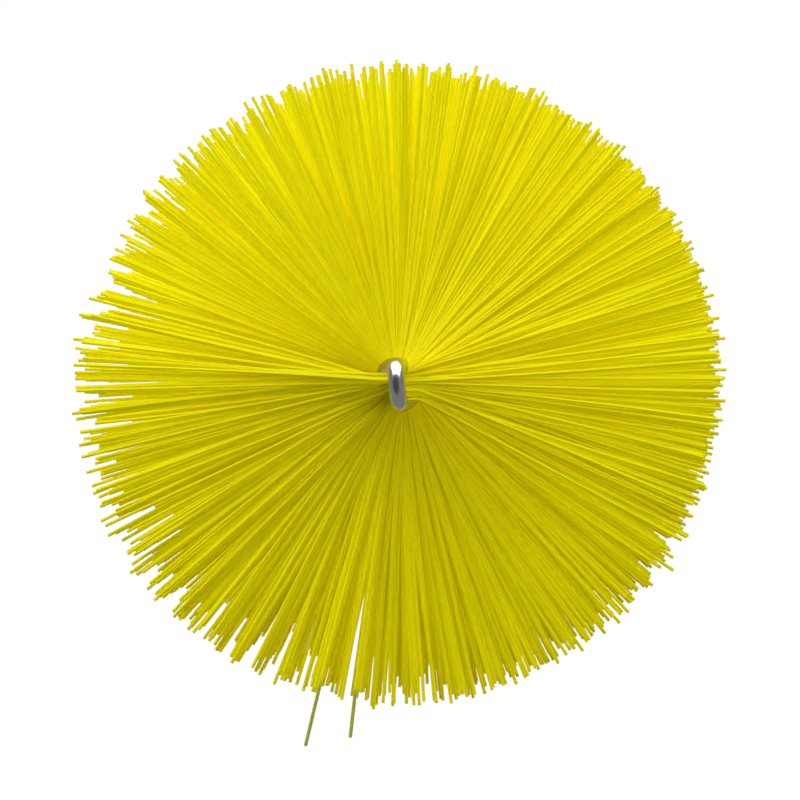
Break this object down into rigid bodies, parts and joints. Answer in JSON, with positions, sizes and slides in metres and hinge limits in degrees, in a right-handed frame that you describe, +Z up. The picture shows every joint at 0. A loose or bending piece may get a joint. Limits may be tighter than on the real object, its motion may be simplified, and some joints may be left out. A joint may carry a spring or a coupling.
{
  "type": "bottle brush",
  "caption": "Bottle brush: dense round bristle head clamped in a twisted wire stem with a nose loop, and a moulded grip with a hanging hole.",
  "frame": {"origin": "centre of the whole brush, on the axis of its twisted wire", "axes": "+Y along the stem from the nose loop towards the grip, +Z up out of the grip's flat top face, +X to the right seen from the nose"},
  "size_m": [0.0598, 0.3785, 0.06],
  "materials": {
    "wire": "polished",
    "bristles": "satin",
    "grip": "satin"
  },
  "bodies": {
    "root": {"core_wire": "wire", "bristle_row_01": "bristles", "bristle_row_02": "bristles", "bristle_row_03": "bristles", "bristle_row_04": "bristles", "bristle_row_05": "bristles", "bristle_row_06": "bristles", "bristle_row_07": "bristles", "bristle_row_08": "bristles", "bristle_row_09": "bristles", "bristle_row_10": "bristles", "bristle_row_11": "bristles", "bristle_row_12": "bristles", "bristle_row_13": "bristles", "bristle_row_14": "bristles", "bristle_row_15": "bristles", "bristle_row_16": "bristles", "bristle_row_17": "bristles", "bristle_row_18": "bristles", "bristle_row_19": "bristles", "bristle_row_20": "bristles", "bristle_row_21": "bristles", "bristle_row_22": "bristles", "grip": "grip"}
  },
  "joints": []
}
